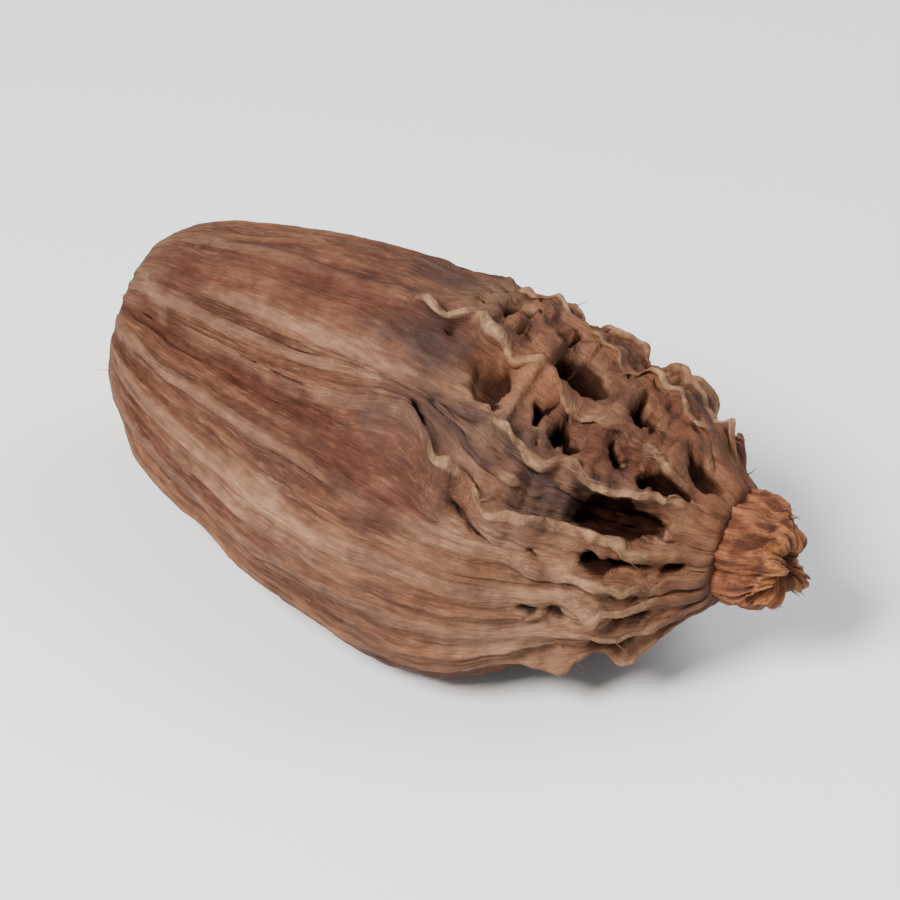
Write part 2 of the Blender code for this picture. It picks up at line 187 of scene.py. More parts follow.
# Crumpled skin fills the hollows nearly to the lower wing, slantwise, and leaves a row of pits in each
WALL_FILL = 0.75
WALL_PITCH = (3.0 * MM, 4.2 * MM)
WALL_SHAPE = (-0.3, 0.45)
WALL_SLANT = 1.3

# The line before this hollow is a lip: the skin beyond it slopes down until the next line rises
LIP_HOLLOW = 5

# Across one wing: half widths at the foot, of a rib and of a wing, and the hollow beside it
RIB_FOOT = 0.66 * MM
WING_FOOT = 0.42 * MM
MIDDLE_RIB = 0.22 * MM
HOLLOW = 0.55 * MM
WING_CLEARANCE = 0.12 * MM

# Calyx: outline of the cup from its base, over the lip, to the floor inside
CALYX_OUTLINE = (
    (0.0, 0.0),
    (0.0, 2.2),
    (0.15, 2.4),
    (0.8, 2.35),
    (1.6, 2.2),
    (2.4, 2.0),
    (2.95, 1.7),
    (3.1, 1.4),
    (2.9, 1.1),
    (2.3, 0.95),
    (1.7, 0.85),
    (1.5, 0.0),
)
CALYX_FOLDS = 7
CALYX_FOLD_DEPTH = 0.16 * MM
LIP_TEETH = ((2, 0.3 * MM, 0.6), (5, 0.2 * MM, 2.1))

# The fine cup's lip curls in further, and takes the place of the part's last points
SHRIVELLED_LIP = ((3.1, 1.2), (2.95, 0.85), (2.3, 0.6), (1.9, 0.5), (1.8, 0.0))

# The finer surface: columns over a hollow's floor and up a wing's wall, and how far apart rows are
FLOOR_SAMPLES = 6
WALL_SAMPLES = 3
FINE_END_ROW = 0.2 * MM
FINE_RIB_ROW = 0.27 * MM
FINE_WING_ROW = 0.142 * MM
# Shares of the husk's length: where rows draw closer, where its ends are, and where wings turn straight out
CLOSER_ROWS = (0.36, 0.46)
END_SHARES = (0.04, 0.998)
SQUARE_END = (0.85, 0.95)

# A wing's edge: how thin it is beside the part's blade, its tighter curls, and how torn it is
EDGE_SHARE = 0.45
CURL = 0.16 * MM
CURL_WAVE = (1.3 * MM, 1.9 * MM)
KINK = 0.3 * MM
KINK_WAVE = 0.9 * MM
TEAR = 0.5
TEAR_WAVE = 1.1 * MM
FRAY = 0.14 * MM
FRAY_WAVE = 0.36 * MM
# More of the curls near the calyx, the rounded crown of each edge, and the least room for its sway
FRILL = 1.4
FRILL_SPAN = (0.84, 0.9)
CROWN = 0.1 * MM
CROWN_SHARE = 0.4
LEAST_SWAY = 0.01 * MM

# How ragged the pits are, and the small holes between them: how many there are in each hollow
WARP = 0.5 * MM
WARP_WAVE = 1.4
RAG = 0.22 * MM
RAG_WAVE = 0.55
HOLES = (1, 1, 1, 0.25, 0.1, 0.3, 0.3, 0.5, 1, 1, 0.8, 0.6, 0.6, 0.8, 1, 1, 1, 1)
HOLE_WAVE = 0.8
WRINKLE = 0.3 * MM
WRINKLE_WAVE = 1.15

# Cracks in the skin, each a line of shares and angles. The material paints shade into them
CRACKS = (
    ((0.596, 30.5), (0.612, 35.0), (0.635, 39.5), (0.650, 42.5)),
    ((0.690, 56.0), (0.705, 60.0), (0.722, 64.5), (0.752, 72.0)),
    ((0.795, 70.0), (0.805, 73.5)),
    ((0.893, 93.0), (0.903, 102.0)),
    ((0.800, 96.0), (0.812, 99.0)),
    ((0.835, 100.0), (0.845, 104.0)),
    ((0.815, 106.0), (0.826, 109.0)),
    ((0.555, 0.0), (0.590, 4.5)),
)
CRACK_WIDTH = 0.17 * MM
CRACK_DEPTH = 0.6 * MM

# Relief all over: height, and size in millimetres. SPLIT of each rib's height goes to finer ribs, and
# ribs are lower in the calm patches: share of the length, angle, half length as a share, half width
DENT, DENT_WAVE = 0.13 * MM, 3.6
FINE_RIB, FINE_RIB_WAVE = 0.16 * MM, 1.0
COMB = 0.2 * MM
COMB_RIBS = 52
SPLIT = 0.3
CALM_PATCHES = ((0.16, 28, 0.26, 17),)
FIBRE, FIBRE_WAVE = 0.05 * MM, 0.42
CRUMPLE, CRUMPLE_WAVE = 0.11 * MM, 1.2
GRAIN, GRAIN_WAVE = 0.045 * MM, 0.5
# The husk is more crumpled past these shares of its length, and more ribbed this near to its front
CRUMPLED_SPAN = (0.42, 0.62)
RIBBED_FRONT = 50.0
# The pattern of ribs and fibres: its radius, and how far it is drawn out along the pod
FLOW_RADIUS = 8.5
FLOW_SQUEEZE = 8.0

# The fine calyx: creases and rough skin round it, and a shredded lip
CALYX_COLUMNS = 240
CALYX_ROW = 0.09 * MM
CALYX_TWIST = 0.35
CREASE = 0.2 * MM
FINE_CREASE = 0.08 * MM
ROUGH = 0.2 * MM
CREASED_RADIUS = 1.6 * MM
LEAST_RADIUS = 0.02 * MM
INSIDE_RADII = (1.9 * MM, 1.2 * MM)
LIP_START = 0.35
SHRED = 0.5 * MM
FINE_SHRED = 0.25 * MM
INTO_HUSK = 0.7 * MM

# Loose fibres: how many there are, and length and radius in millimetres and bend of each kind
FIBRE_SEED = 41
FIBRE_STEPS = 9
FIBRE_SIDES = 5
WING_FIBRES = 40
WING_TRIES = 4000
WING_SPAN = (0.05, 0.97)
ABOVE_FLOOR = 2.0 * MM
WING_FIBRE = ((0.5, 1.4), (0.018, 0.032), (0.6, 1.8))
LIP_FIBRES = 26
LIP_ROWS = (0.5, 0.66)
LIP_FIBRE = ((0.3, 0.8), (0.025, 0.045), (0.5, 1.5))
SCAR_FIBRES = 16
SCAR_FIBRE = ((0.35, 0.6), (0.04, 0.07), (0.4, 1.2))

# Patches of another colour: share of the length, angle, half length as a share, half width. One red patch is
# partly painted shade
GREY_PATCHES = (
    (0.68, 33, 0.13, 10),
    (0.80, 50, 0.06, 8),
    (0.58, 12, 0.06, 9),
    (0.79, 42, 0.07, 9),
    (0.76, -5, 0.05, 11),
    (0.56, -18, 0.07, 14),
)
RED_PATCHES = (
    (0.60, 63, 0.07, 8),
    (0.12, 46, 0.10, 6),
    (0.30, 48, 0.12, 5),
    (0.45, 50, 0.09, 6),
    # Partly painted shade: darkens a facet at the back of the top, near the calyx
    (0.92, -10, 0.07, 20),
    (0.54, 56, 0.10, 12),
    (0.42, -40, 0.16, 16),
    (0.66, 136, 0.08, 8),
    (0.85, 24, 0.04, 7),
    (0.40, 8, 0.20, 12),
    (0.14, 20, 0.10, 12),
)
GOLD_PATCHES = ((1.0, 10, 0.07, 60), (0.86, -24, 0.08, 12), (0.72, 6, 0.06, 12))
PALE_PATCHES = (
    (0.73, 68, 0.09, 9),
    (0.83, 90, 0.06, 13),
    (0.80, 112, 0.08, 12),
    (0.40, 84, 0.16, 7),
    (0.44, 24, 0.14, 5),
    (0.66, 18, 0.05, 8),
    (0.10, 30, 0.07, 7),
)


class Noise:
    """Seeded 3-D gradient noise, from about -1 to 1, with features about one unit across."""

    def __init__(self, seed):
        draw = np.random.RandomState(seed)
        self.order = draw.permutation(256)
        slopes = draw.normal(size=(256, 3))
        self.slopes = slopes / np.linalg.norm(slopes, axis=1)[:, None]

    def __call__(self, *where):
        where = np.stack(np.broadcast_arrays(*where), axis=-1).astype(float)
        cell = np.floor(where).astype(int)
        inside = where - cell
        ease = inside**3 * (inside * (inside * 6 - 15) + 10)
        total = 0.0
        for corner in np.ndindex(2, 2, 2):
            x, y, z = ((cell[..., i] + corner[i]) & 255 for i in range(3))
            slope = self.slopes[self.order[(self.order[(self.order[x] + y) & 255] + z) & 255]]
            weight = np.prod([ease[..., i] if corner[i] else 1 - ease[..., i] for i in range(3)], axis=0)
            total = total + weight * ((inside - corner) * slope).sum(axis=-1)
        return total * 1.7

    def at(self, points, size):
        """The noise at points, with features of this size."""
        return self(*(points[..., i] / size for i in range(3)))

    def ridges(self, points, size):
        """Sharp ridges from 0 to 1 where the noise changes sign."""
        return np.maximum(1.0 - np.abs(self.at(points, size)), 0.0)


# A field of noise for each kind of unevenness
NOISE_SEEDS = {
    "dent": 1,
    "rib": 2,
    "fibre": 3,
    "crumple": 4,
    "grain": 5,
    "comb": 6,
    "quick comb": 7,
    "broken comb": 8,
    "crease": 11,
    "fine crease": 12,
    "rough": 13,
    "shred": 14,
    "fine shred": 15,
    "tear": 21,
    "fray": 22,
    "kink": 23,
    "warp along": 31,
    "warp across": 32,
    "wall": 33,
    "hole": 34,
    "fill": 35,
    "wrinkle": 36,
    "rag along": 37,
    "rag across": 38,
}
NOISES = {name: Noise(seed) for name, seed in NOISE_SEEDS.items()}


def smooth(low, high, value):
    """0 below low, 1 above high, and an even S between them."""
    share = np.clip((value - low) / (high - low), 0.0, 1.0)
    return share * share * (3.0 - 2.0 * share)


def from_angle(angle, centre):
    """How far angle is from centre in degrees, the short way round."""
    return (angle - centre + 180.0) % 360.0 - 180.0


def curve_through(points, steps=40):
    """A dense smooth line through the points, which doesn't reach past its ends along the pod."""
    points = np.asarray(points, float)
    ends = np.vstack([2 * points[0] - points[1], points, 2 * points[-1] - points[-2]])
    knots = np.concatenate([[0.0], np.cumsum(np.linalg.norm(np.diff(ends, axis=0), axis=1) ** 0.5)])
    line = []
    for i in range(1, len(ends) - 2):
        a, b, c, d = ends[i - 1 : i + 3]
        ta, tb, tc, td = knots[i - 1 : i + 3]
        t = np.linspace(tb, tc, steps, endpoint=False)[:, None]
        ab = a + (b - a) * (t - ta) / (tb - ta)
        bc = b + (c - b) * (t - tb) / (tc - tb)
        cd = c + (d - c) * (t - tc) / (td - tc)
        abc = ab + (bc - ab) * (t - ta) / (tc - ta)
        bcd = bc + (cd - bc) * (t - tb) / (td - tb)
        line.append(abc + (bcd - abc) * (t - tb) / (tc - tb))
    line = np.vstack([*line, points[-1:]])
    line[:, 0] = np.clip(line[:, 0], points[:, 0].min(), points[:, 0].max())
    return line


def along_path(share, shares, values):
    """The value at each share, on a smooth line through the values at these shares."""
    size = max(np.ptp(values), 1e-9)
    line = curve_through(np.column_stack([shares, np.divide(values, size)]))
    return np.interp(share, line[:, 0], line[:, 1]) * size


def rows_along(line, step_at):
    """Points on the line step_at(x) apart, without its two ends, and the line's outward normal at each."""
    lengths = np.concatenate([[0.0], np.cumsum(np.linalg.norm(np.diff(line, axis=0), axis=1))])
    places = []
    place = 0.0
    while True:
        place += step_at(np.interp(place, lengths, line[:, 0]))
        if place > lengths[-1] - 0.4 * FINE_END_ROW:
            break
        places.append(place)
    around = 0.2 * MM
    x, r = (np.interp(places, lengths, line[:, i]) for i in (0, 1))
    after = np.add(places, around)
    before = np.subtract(places, around)
    dx, dr = (np.interp(after, lengths, line[:, i]) - np.interp(before, lengths, line[:, i]) for i in (0, 1))
    size = np.hypot(dx, dr)
    return x, r, -dr / size, dx / size


def axis_at(x):
    """The pod's middle line at x from the stalk scar, as world x, y and z."""
    share = np.clip(x / HUSK_LENGTH, 0.0, 1.0)
    shares, across, up = np.transpose(MIDDLE_LINE)
    return x - POD_LENGTH / 2, along_path(share, shares, across), along_path(share, shares, up)


def around_axis(x, angle, radius):
    """World points at these places along, round and out from the middle line."""
    along, across, up = axis_at(x)
    turn = np.radians(angle)
    across = across - radius * np.sin(turn)
    up = up + HEIGHT_SHARE * radius * np.cos(turn)
    return np.stack(np.broadcast_arrays(along, across, up), axis=-1)


def pits_at(share, angle):
    """How far each place lies in a pit, from 0 to 1, and how deep the pits sink the body there."""
    inside = sunk = 0.0
    for place, centre, half, width, depth in PITS:
        away = ((share - place) / half) ** 2 + (from_angle(angle, centre) / width) ** 2
        inside = np.maximum(inside, np.exp(-(away**2)))
        sunk = np.maximum(sunk, depth * np.exp(-(away**2)))
    return inside, sunk


def body_radius(share, angle, radius):
    """The part's own body, without its pits."""
    swell = 1.0 + LOBE_SWELL * np.cos(np.radians(LOBES * (angle - TOP_LOBE)))
    place, centre, half, width, height = BULGE
    full = np.exp(-(((share - place) / half) ** 2) - (from_angle(angle, centre) / width) ** 2)
    sunk = -height * full
    for path, depth, fading in FURROWS:
        fade = smooth(0.04, 0.12, share) * (1.0 - smooth(*fading, share))
        aside = from_angle(angle, along_path(share, *np.transpose(path))) / FURROW_SPREAD
        sunk = sunk + fade * depth * np.exp(-(aside**2))
    return radius * swell - sunk


def patches_at(patches, share, angle):
    """How much each place is in a patch, from 0 to 1."""
    inside = 0.0
    for place, centre, half, width in patches:
        away = ((share - place) / half) ** 2 + (from_angle(angle, centre) / width) ** 2
        inside = np.maximum(inside, np.exp(-away))
    return inside


def cracks_at(share, angle, radius):
    """How much each place is in a crack, from 0 to 1."""
    inside = np.zeros(np.broadcast(share, angle, radius).shape)
    for crack in CRACKS:
        for (share_a, angle_a), (share_b, angle_b) in zip(crack, crack[1:]):
            along = (share - share_a) * HUSK_LENGTH
            across = np.radians(from_angle(angle, angle_a)) * radius
            step_along = (share_b - share_a) * HUSK_LENGTH
            step_across = np.radians(angle_b - angle_a) * radius
            length = step_along**2 + step_across**2
            on = np.clip((along * step_along + across * step_across) / length, 0.0, 1.0)
            away = np.hypot(along - on * step_along, across - on * step_across)
            inside = np.maximum(inside, np.exp(-((away / CRACK_WIDTH) ** 2)))
    return inside


def draw_wings():
    """The part's own draws, in the same order, and then those of the finer waves."""
    chance = random.Random(SEED)
    names = "start height lean wave phase notch_wave notch_phase drift pitch wall".split()
    wings = {name: [] for name in names}
    for number in range(WINGS):
        usual = chance.uniform(*USUAL_START)
        wings["start"].append(WING_STARTS.get(number, usual))
        wings["height"].append(WING_HEIGHT * WING_SHARES[number] * chance.uniform(0.9, 1.1))
        lean = LEAN * math.sin(4 * math.pi * number / WINGS + 0.6)
        wings["lean"].append(lean + chance.uniform(-0.08, 0.08))
        wings["wave"].append(chance.uniform(*SWAY_WAVE))
        wings["phase"].append(chance.uniform(0.0, math.tau))
        wings["notch_wave"].append(chance.uniform(*NOTCH_WAVE))
        wings["notch_phase"].append(chance.uniform(0.0, math.tau))
        wings["drift"].append(chance.uniform(0.0, math.tau))
        wings["pitch"].append(chance.uniform(*WALL_PITCH))
        wings["wall"].append(chance.uniform(0.0, math.tau))
    wings["slant"] = [WALL_SLANT * chance.uniform(-1.0, 1.0) for _ in range(WINGS)]
    wings["curl_wave"] = [chance.uniform(*CURL_WAVE) for _ in range(WINGS)]
    wings["curl_phase"] = [chance.uniform(0.0, math.tau) for _ in range(WINGS)]
    return {name: np.array(values) for name, values in wings.items()}


def wing_lines(x, wings):
    """For each row and wing: angle, height, sway, slope, how far it has risen, and its walls' turn."""
    share = x / HUSK_LENGTH
    rise = smooth(wings["start"], wings["start"] + WING_RISE, share) * (1.0 - smooth(*WING_END, share))
    angle = np.hstack([along_path(share, *np.transpose(path)) for path in WING_PATHS])
    angle = angle + DRIFT * np.sin(math.tau * 1.4 * share + wings["drift"]) * smooth(0.1, 0.4, share)
    free = smooth(*UNDERSIDE_SPAN, np.abs(from_angle(angle, UNDERSIDE)))
    standing = 1.0 - UNDERSIDE_PRESS * (1.0 - free)
    notches = math.tau * x / wings["notch_wave"] + wings["notch_phase"]
    notch = 1.0 + NOTCH * (np.sin(notches) + BROKEN * np.sin(QUICKER * notches + wings["drift"]))
    # Each wing reads the noise along a line of its own
    own_line = np.arange(WINGS)[None, :] * 7.3
    notch = notch * (1.0 - TEAR * smooth(0.05, 0.7, NOISES["tear"](x / TEAR_WAVE, own_line, 0.5)))
    fray = FRAY * NOISES["fray"](x / FRAY_WAVE, own_line, 0.5) * rise * free
    ribs = RIB_HEIGHT * smooth(0.05, 0.14, share) * (1.0 - 0.7 * smooth(*RIB_FADE, share) * (1.0 - rise))
    ribs = ribs * RIB_SHARES * (1.0 - SPLIT) * (1.0 - 0.7 * patches_at(CALM_PATCHES, share, angle))
    whole = 1.0 - smooth(0.15, 0.6, pits_at(share, angle)[0])
    height = (ribs + wings["height"] * rise * notch * whole) * standing + fray
    slow = math.tau * x / UNEVEN_WAVE + wings["drift"]
    turn = math.tau * x / wings["wave"] + wings["phase"] + UNEVEN * np.sin(slow)
    rate = math.tau / wings["wave"] + UNEVEN * math.tau / UNEVEN_WAVE * np.cos(slow)
    curl = math.tau * x / wings["curl_wave"] + wings["curl_phase"] + 1.6 * np.sin(1.7 * slow)
    reach = SWAY * rise * free
    quick = QUICKER * turn + wings["drift"]
    bursts = np.maximum(0.5 + 0.5 * np.sin(2.3 * slow), 0.1)
    tight = CURL * rise * free * bursts * (1.0 + FRILL * smooth(*FRILL_SPAN, share))
    kink = KINK * NOISES["kink"](x / KINK_WAVE, own_line, 0.5) * rise * free
    sway = reach * (np.sin(turn) + BROKEN * np.sin(quick)) + tight * np.sin(curl)
    sway = sway + wings["lean"] * height * rise * free + kink
    slope = reach * rate * (np.cos(turn) + BROKEN * QUICKER * np.cos(quick))
    slope = slope + tight * math.tau / wings["curl_wave"] * np.cos(curl)
    walls = math.tau * x / wings["pitch"] + wings["wall"] + 0.7 * np.sin(slow)
    return angle, height, sway, slope, rise, walls


def cross_section():
    """The columns of one wing: side, how far up its wall, how far out in the hollow, width of its edge."""
    floor = [n / (FLOOR_SAMPLES + 1) for n in range(1, FLOOR_SAMPLES + 1)]
    wall = [n / (WALL_SAMPLES + 1) for n in range(1, WALL_SAMPLES + 1)]
    left = [(-1, 0.0, out, 1.0) for out in reversed(floor)]
    left += [(-1, up, 0.0, 1.0) for up in [0.0, *wall, 1.0]]
    top = [(side, 1.0, 0.0, CROWN_SHARE) for side in (-1, 1)]
    right = [(1, up, 0.0, 1.0) for up in [1.0, *reversed(wall), 0.0]]
    right += [(1, 0.0, out, 1.0) for out in [*floor, 1.0]]
    return left + top + right


def husk_grid():
    """Points of the fine husk, and for each point the values that its material reads."""
    line = curve_through(BODY_OUTLINE) * (HUSK_LENGTH, BODY_RADIUS)

    def step_at(x):
        share = x / HUSK_LENGTH
        if share < END_SHARES[0]:
            return FINE_END_ROW
        if share > END_SHARES[1]:
            return 1.5 * FINE_END_ROW
        return FINE_RIB_ROW + (FINE_WING_ROW - FINE_RIB_ROW) * smooth(*CLOSER_ROWS, share)

    x, r, normal_x, normal_r = (row[:, None] for row in rows_along(line, step_at))
    wings = draw_wings()
    angle, height, sway, slope, rise, walls = wing_lines(x, wings)
    share = x / HUSK_LENGTH
    normal_x = normal_x * (1.0 - smooth(*SQUARE_END, share))
    following = np.hstack([angle[:, 1:], angle[:, :1] + 360.0])
    leading = np.hstack([angle[:, -1:] - 360.0, angle[:, :-1]])
    # The hollows on both sides sink a rib's foot, and a wing's only in a pit
    sinks = (1.0 - rise) + rise * smooth(0.2, 0.8, pits_at(share, angle)[0])
    sunk = HOLLOW * 0.5 * (np.roll(rise, 1, axis=1) + np.roll(rise, -1, axis=1)) * sinks

    # From here on, one value for each row and column
    section = cross_section()
    number = np.repeat(np.arange(WINGS), len(section))
    side, up, out, wide = np.tile(section, (WINGS, 1)).T
    lines = (angle, height, sway, slope, rise, sunk)
    own, stand, sway, slope, risen, sunk = (value[:, number] for value in lines)
    beside = np.where(side > 0, following[:, number], leading[:, number])
    gap = np.minimum(following - angle, angle - leading)[:, number]
    own_depth = pits_at(share, own)[1]
    radius = body_radius(share, own, r) - own_depth
    top = radius + normal_r * stand
    half_gap = np.radians(gap / 2) * top
    blade = BLADE / 2 * (1.0 - (1.0 - EDGE_SHARE) * risen)
    edge = np.minimum(blade * np.minimum(np.sqrt(1.0 + slope**2), 1.5), 0.6 * half_gap)
    most = np.maximum(half_gap - edge - WING_CLEARANCE, LEAST_SWAY)
    aside = most * np.tanh(sway / most)
    middle = (own + beside) / 2
    room = np.radians(np.abs(middle - own)) * radius
    foot = np.minimum(RIB_FOOT + (WING_FOOT - RIB_FOOT) * risen, 0.72 * room)
    across = side * (edge + (foot - edge) * (1.0 - up) ** 1.6) * wide
    reach = radius + (top - radius) * up
    still = own + np.degrees(across / reach)
    still = still + (middle - still) * out
    place = own + np.degrees((across + aside * up**1.3) / reach)
    place = place + (middle - place) * out

    # The hollow that the column stands beside, and its pits, small holes and wrinkles
    first = np.where(side > 0, number, number - 1) % WINGS
    second = (first + 1) % WINGS
    beyond = 0.5 * (rise[:, first] + rise[:, second])
    both = np.minimum(rise[:, first], rise[:, second])
    low = np.minimum(height[:, first], height[:, second])
    over = side * (2.0 * (place - own) / (beside - own) - 1.0)
    body = body_radius(share, place, r)
    spot = around_axis(x, place, body) / MM

    def warp(way):
        """How far the outlines of pits and patches wander this way."""
        broad = WARP * NOISES["warp " + way].at(spot, WARP_WAVE)
        return broad + RAG * NOISES["rag " + way].at(spot, RAG_WAVE)

    warp_share = share + warp("along") / HUSK_LENGTH
    warp_angle = place + np.degrees(warp("across") / body)
    inside, depth = pits_at(warp_share, warp_angle)
    inside = smooth(0.3, 0.7, inside)
    walls = walls[:, first] + wings["slant"][first] * over + 1.2 * NOISES["wall"].at(spot, 1.8)
    walled = np.isin(first, list(WALLED))
    fill = np.where(walled, smooth(*WALL_SHAPE, np.cos(walls)), 1.0 - inside) * both
    holes = np.array(HOLES)[first] * both
    hole = smooth(0.3, 0.5, NOISES["hole"].at(spot, HOLE_WAVE)) * holes * fill
    full = fill * (1.0 - 0.85 * hole)
    bowl = np.sin(math.pi / 2 * out) ** 1.3
    valley = MIDDLE_RIB * (1.0 - beyond) * smooth(0.06, 0.16, share) * out**2 - HOLLOW * beyond * bowl
    floor = valley - sunk * (1.0 - out)
    down = rise[:, first] * (1.0 - rise[:, second]) * (1.0 - over) / 2
    floor = floor + np.where(first == LIP_HOLLOW, height[:, first] * down, 0.0)
    level = (WALL_FILL + 0.15 * NOISES["fill"].at(spot, 2.4) * holes) * low
    wrinkle = NOISES["wrinkle"].ridges(spot, WRINKLE_WAVE) ** 2.5 - 0.4
    floor = floor + (level + WRINKLE * wrinkle * holes - floor) * full
    crack = cracks_at(share, place, body)
    crown = CROWN * (1.0 - wide)
    lift = (stand - sunk) * up + floor * (1.0 - up) + crown - CRACK_DEPTH * crack * (1.0 - up)
    ground = body - own_depth * up - depth * (1.0 - up)
    grid = around_axis(x + normal_x * lift, place, ground + normal_r * lift)

    # What the material reads. Its pattern flows along the wing lines, from their angles at the scar
    starts = np.array([path[0][1] for path in WING_PATHS], float)
    ahead = np.append(starts[1:], starts[0] + 360.0)
    behind = np.insert(starts[:-1], 0, starts[-1] - 360.0)
    step = np.where(side > 0, (ahead - starts)[number], (behind - starts)[number])
    turn = np.radians(starts[number] + step * (still - own) / (beside - own))
    wide_flow = FLOW_RADIUS + lift / MM
    flow = (wide_flow * np.cos(turn), wide_flow * np.sin(turn), x / MM / FLOW_SQUEEZE)
    tallest = 0.5 * (height[:, first] + height[:, second])
    pit = (both * (1.0 - fill) + hole) * (1.0 - up) + 0.5 * (depth * (1.0 - up) + own_depth * up) / MM
    comb = COMB_RIBS / 2 * turn + 1.3 * NOISES["comb"].at(spot, 6.0)
    comb = comb + 0.5 * NOISES["quick comb"].at(spot, 2.0)
    values = {
        "flow": np.stack(np.broadcast_arrays(*flow), axis=-1),
        "crest": up**2 * risen * smooth(0.3 * MM, 0.9 * MM, stand),
        # pit and sunk: how far down a place lies in a pit, hole or hollow; the material paints shade by them
        "pit": np.clip(pit, 0.0, 1.5),
        "rim": np.clip(4.0 * full * (1.0 - full), 0.0, 1.0) * (1.0 - up) * both,
        "sunk": np.clip((tallest - lift) / WING_HEIGHT, 0.0, 1.5) * np.maximum(beyond, risen),
        # rib: how high up a rib a place lies; the material paints the rib tops lighter, partly painted light
        "rib": (up**2 + 0.6 * (out == 1.0)) * (1.0 - beyond),
        "share": share * np.ones_like(place),
        # crack: the material paints shade into the cracks
        "crack": crack * (1.0 - up),
        "calm": patches_at(CALM_PATCHES, share, place),
        "grey": patches_at(GREY_PATCHES, warp_share, warp_angle),
        "red": patches_at(RED_PATCHES, warp_share, warp_angle),
        "gold": patches_at(GOLD_PATCHES, warp_share, warp_angle),
        "pale": patches_at(PALE_PATCHES, warp_share, warp_angle),
        "comb": np.abs(np.sin(comb)),
    }
    return relief(grid, values, from_angle(place, 90.0)), values


def grid_normals(grid):
    """The outward normal at each point of a grid of rings."""
    along = np.gradient(grid, axis=0)
    round_it = np.roll(grid, -1, axis=1) - np.roll(grid, 1, axis=1)
    normal = np.cross(round_it, along)
    normal = normal / np.maximum(np.linalg.norm(normal, axis=-1, keepdims=True), 1e-12)
    centre = grid.mean(axis=1, keepdims=True)
    outward = np.sign(((grid - centre) * normal).sum(axis=-1).sum())
    return normal * outward


def relief(grid, values, from_front):
    """Dents, fine ribs, fibres and crumpled skin, raised along the surface's own normals."""
    spot = grid / MM
    share, flow = values["share"], values["flow"]
    crumpled = smooth(*CRUMPLED_SPAN, share)
    open_skin = 1.0 - 0.75 * values["crest"]
    body = smooth(0.02, 0.08, share) * (1.0 - smooth(0.94, 0.99, share))
    base = body * (1.0 - 0.75 * crumpled) * (0.35 + 0.75 * np.exp(-((from_front / RIBBED_FRONT) ** 2)))
    base = base * (1.0 - 0.5 * values.pop("calm"))
    dent = DENT * NOISES["dent"].at(spot, DENT_WAVE) * body
    ridged = NOISES["rib"].ridges(flow * (1.0, 1.0, 1.4 * FINE_RIB_WAVE), FINE_RIB_WAVE)
    broken = smooth(-0.8, 0.1, NOISES["broken comb"].at(flow * (1.0, 1.0, 1.6), 2.5))
    values["comb"] = 1.0 - (1.0 - values["comb"] ** 0.8) * base * broken
    ribs = FINE_RIB * (ridged**2.5 - 0.45) * base + COMB * (values["comb"] - 0.85)
    streak = NOISES["fibre"].ridges(flow * (1.0, 1.0, 2.2 * FIBRE_WAVE), FIBRE_WAVE)
    fibre = FIBRE * (streak**3 - 0.35) * body
    crumple = CRUMPLE * NOISES["crumple"].at(spot, CRUMPLE_WAVE) * (0.35 + 0.65 * crumpled)
    crumple = crumple * open_skin * body
    grain = GRAIN * NOISES["grain"].at(spot, GRAIN_WAVE) * (0.4 + 0.6 * crumpled)
    lift = dent + ribs + fibre + crumple + grain * smooth(0.0, 0.02, share)
    grid = grid + grid_normals(grid) * lift[..., None]
    grid[..., 2] = np.maximum(grid[..., 2], 0.0)
    values["streak"] = streak
    # The material paints shade into the valleys between these fine ribs, as well as the skin's own streaks
    values["ridge"] = ridged
    return grid


def calyx_grid():
    """Points of the fine calyx, and for each point the values that its material reads."""
    line = curve_through(CALYX_OUTLINE[:-5] + SHRIVELLED_LIP) * MM
    x, r, _, _ = rows_along(line, lambda place: CALYX_ROW)
    turn = np.linspace(0.0, math.tau, CALYX_COLUMNS, endpoint=False)[None, :]
    start = HUSK_LENGTH + CALYX_GAP
    depth = POD_LENGTH - start
    x = (x * depth / x.max())[:, None]
    r = r[:, None]
    lip = smooth(LIP_START * depth, depth, x)
    outer = smooth(0.0, CREASED_RADIUS, r)
    wave = turn + CALYX_TWIST * (x / depth)
    cos, sin = np.cos(wave), np.sin(wave)

    def creases(name, turns, length):
        return NOISES[name](cos * turns, sin * turns, x / length)

    def shreds(name, turns):
        return NOISES[name](np.cos(turn) * turns, np.sin(turn) * turns, 0.3)

    fold = CALYX_FOLD_DEPTH * np.sin(CALYX_FOLDS * turn + 0.9 * np.sin(turn)) * outer
    fine = 1.0 - np.abs(creases("crease", 6.0, 1.6 * MM))
    finest = 1.0 - np.abs(creases("fine crease", 14.0, 0.9 * MM))
    rough = ROUGH * creases("rough", 3.0, 0.8 * MM)
    fold = fold + (CREASE * (fine**2 - 0.5) + FINE_CREASE * (finest**2 - 0.5) + rough) * outer
    edge = sum(size * np.sin(number * turn + phase) for number, size, phase in LIP_TEETH)
    edge = edge + (SHRED * shreds("shred", 3.0) + FINE_SHRED * shreds("fine shred", 13.0))
    along = start + x + lip * (edge - edge.max())
    # The base runs on into the husk, so that no gap shows
    along = along - INTO_HUSK * (1.0 - smooth(0.0, 0.12 * MM, x))
    radius = r * (1.0 + 0.06 * np.cos(2 * turn + 0.7)) + fold
    grid = around_axis(along, np.degrees(turn), np.maximum(radius, LEAST_RADIUS))
    inside = smooth(*INSIDE_RADII, r) * (x > 0.4 * depth)
    values = {
        "flow": np.stack(np.broadcast_arrays(3.0 * cos, 3.0 * sin, x / MM / 4.0), axis=-1),
        "lip": lip * np.ones_like(radius),
        # inside and streak: the material paints shade inside the cup and into the creases
        "inside": inside * np.ones_like(radius),
        "streak": fine,
    }
    return grid, values


def linked(name, data):
    """A new object in the scene."""
    piece = bpy.data.objects.new(name, data)
    bpy.context.scene.collection.objects.link(piece)
    return piece


